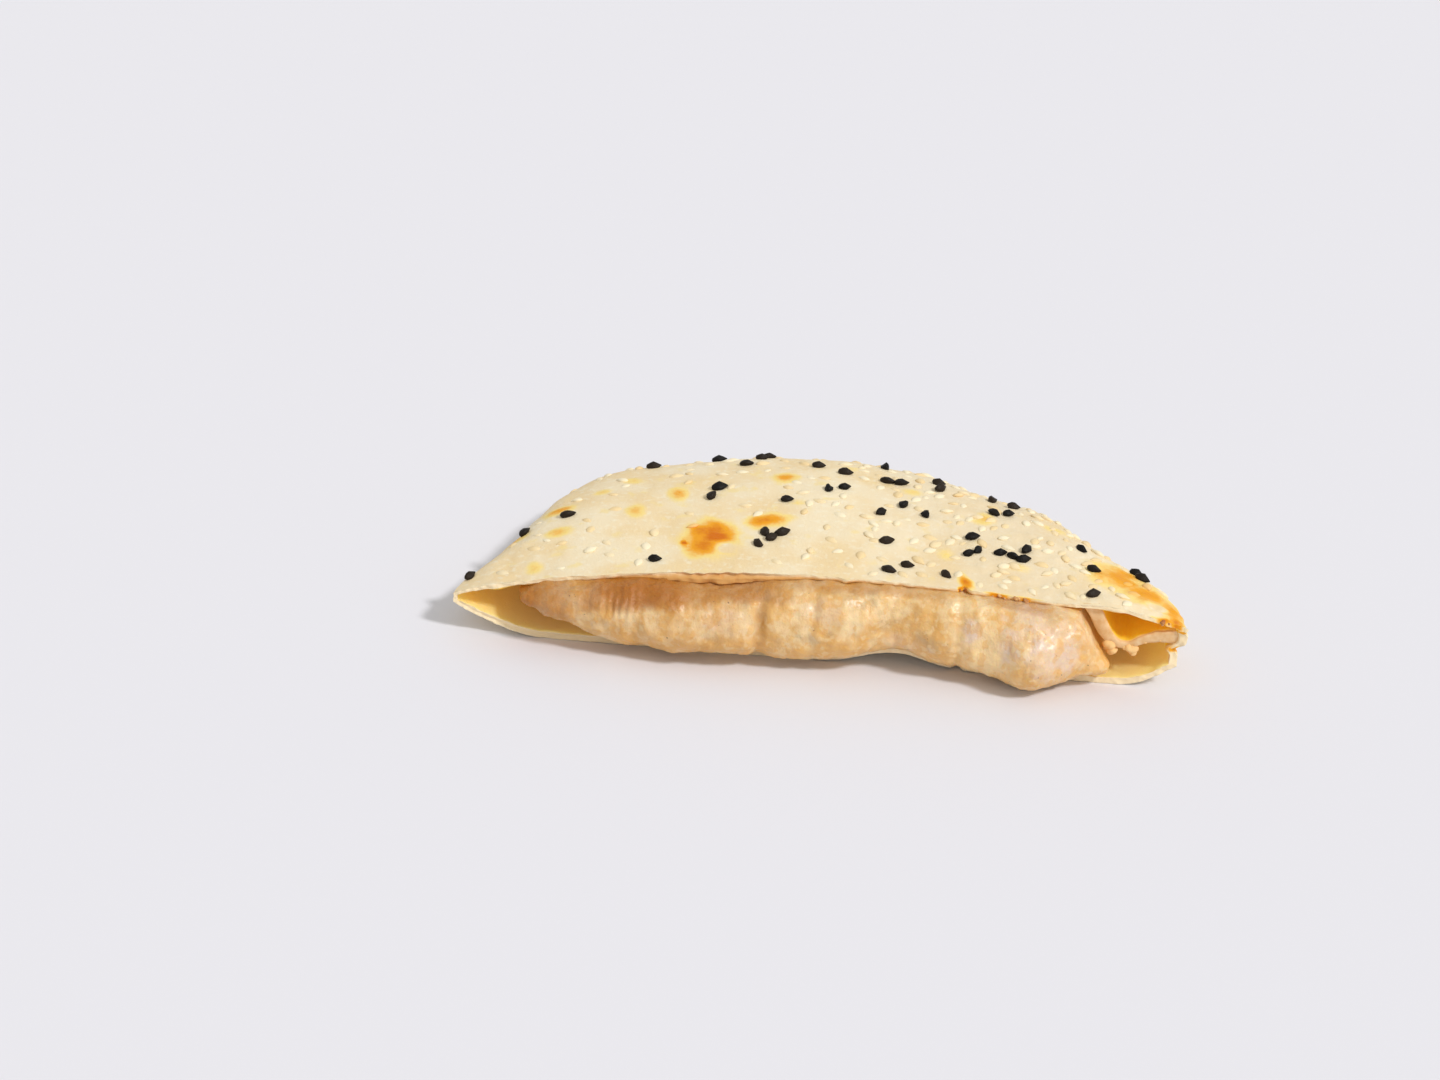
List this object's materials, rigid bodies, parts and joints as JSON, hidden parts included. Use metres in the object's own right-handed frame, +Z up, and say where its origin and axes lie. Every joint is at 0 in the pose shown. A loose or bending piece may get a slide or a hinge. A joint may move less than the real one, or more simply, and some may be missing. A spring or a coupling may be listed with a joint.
{
  "type": "filled flatbread half",
  "caption": "Half of a round baked flatbread, cut straight across, with sesame paste bulging from the cut and seeds on its crust.",
  "frame": {"origin": "middle of the underside of the whole half's box, on the surface that it rests on", "axes": "+X along the straight cut, from the thin corner to the thick one; +Y from the cut to the baked rim behind it; +Z up through the top sheet"},
  "size_m": [0.1498, 0.0842, 0.0213],
  "materials": {
    "crust": "matte cream baked dough with golden and browned spots, black and pale seeds",
    "paste": "glossy mottled tan sesame paste"
  },
  "bodies": {
    "root": {"dough": "crust", "tahini_paste": "paste"}
  },
  "joints": []
}
